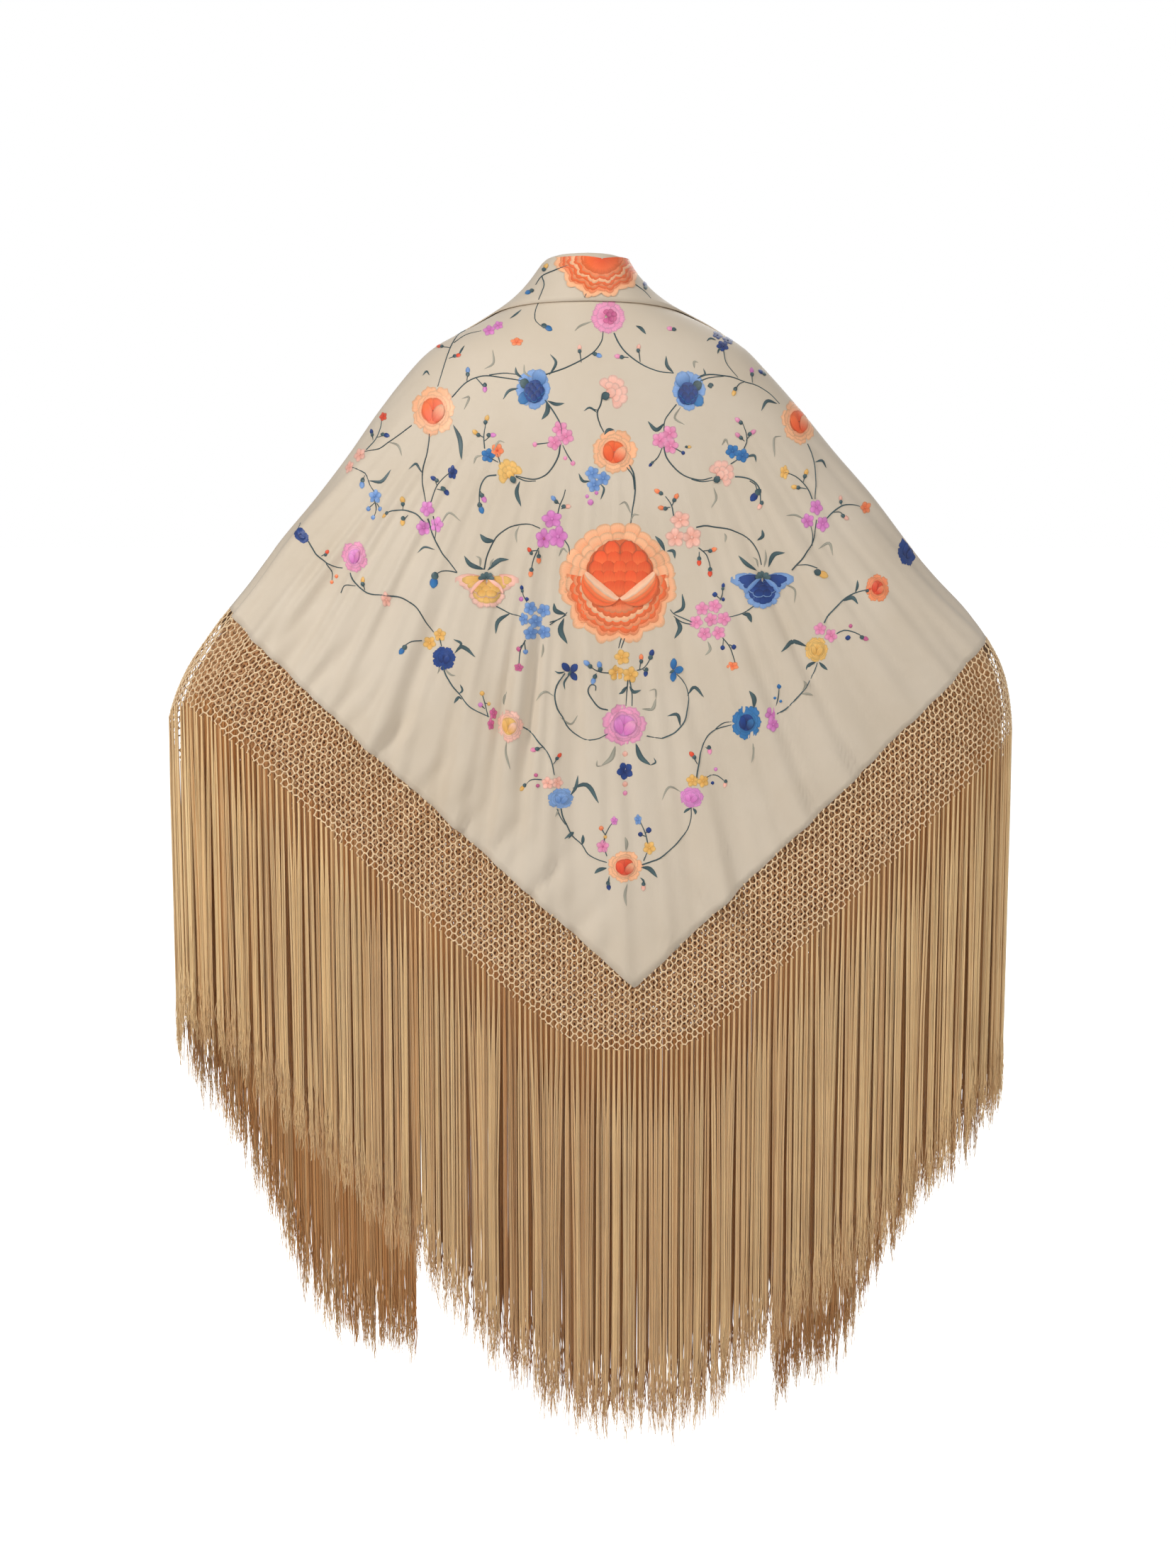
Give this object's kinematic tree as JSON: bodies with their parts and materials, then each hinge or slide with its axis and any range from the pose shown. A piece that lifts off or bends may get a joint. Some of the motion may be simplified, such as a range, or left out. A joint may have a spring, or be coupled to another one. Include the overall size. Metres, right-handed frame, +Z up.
{
  "type": "embroidered fringed shawl",
  "caption": "Square silk shawl folded on its diagonal and worn over both shoulders, with a turned collar, floral embroidery, a knotted net border and a long fringe.",
  "frame": {"origin": "on the neck's axis at the base of the neck, where the shawl is carried by the neck and shoulders, about 66 mm below the top of the collar at the nape", "axes": "+Z up, -Y out of the embroidered back, +X towards the wearer's right, +Y towards the open front"},
  "size_m": [1.0798, 0.2843, 1.5767],
  "materials": {
    "silk": "ivory silk crepe with a soft sheen",
    "net": "golden beige silk cord, knotted",
    "fringe": "golden beige silk yarn with a soft gloss",
    "embroidery": "floss silk satin stitch in many colours"
  },
  "bodies": {
    "root": {"back_panel": "silk", "front_left_panel": "silk", "front_right_panel": "silk", "turned_collar": "silk", "inner_back_panel": "silk", "inner_front_left_panel": "silk", "inner_front_right_panel": "silk", "net_back_left": "net", "net_back_right": "net", "net_front_left": "net", "net_front_right": "net", "inner_net_back_left": "net", "inner_net_back_right": "net", "inner_net_front_left": "net", "inner_net_front_right": "net", "fringe_back_left": "fringe", "fringe_back_right": "fringe", "fringe_front_left": "fringe", "fringe_front_right": "fringe", "inner_fringe_back_left": "fringe", "inner_fringe_back_right": "fringe", "inner_fringe_front_left": "fringe", "inner_fringe_front_right": "fringe"}
  },
  "joints": []
}
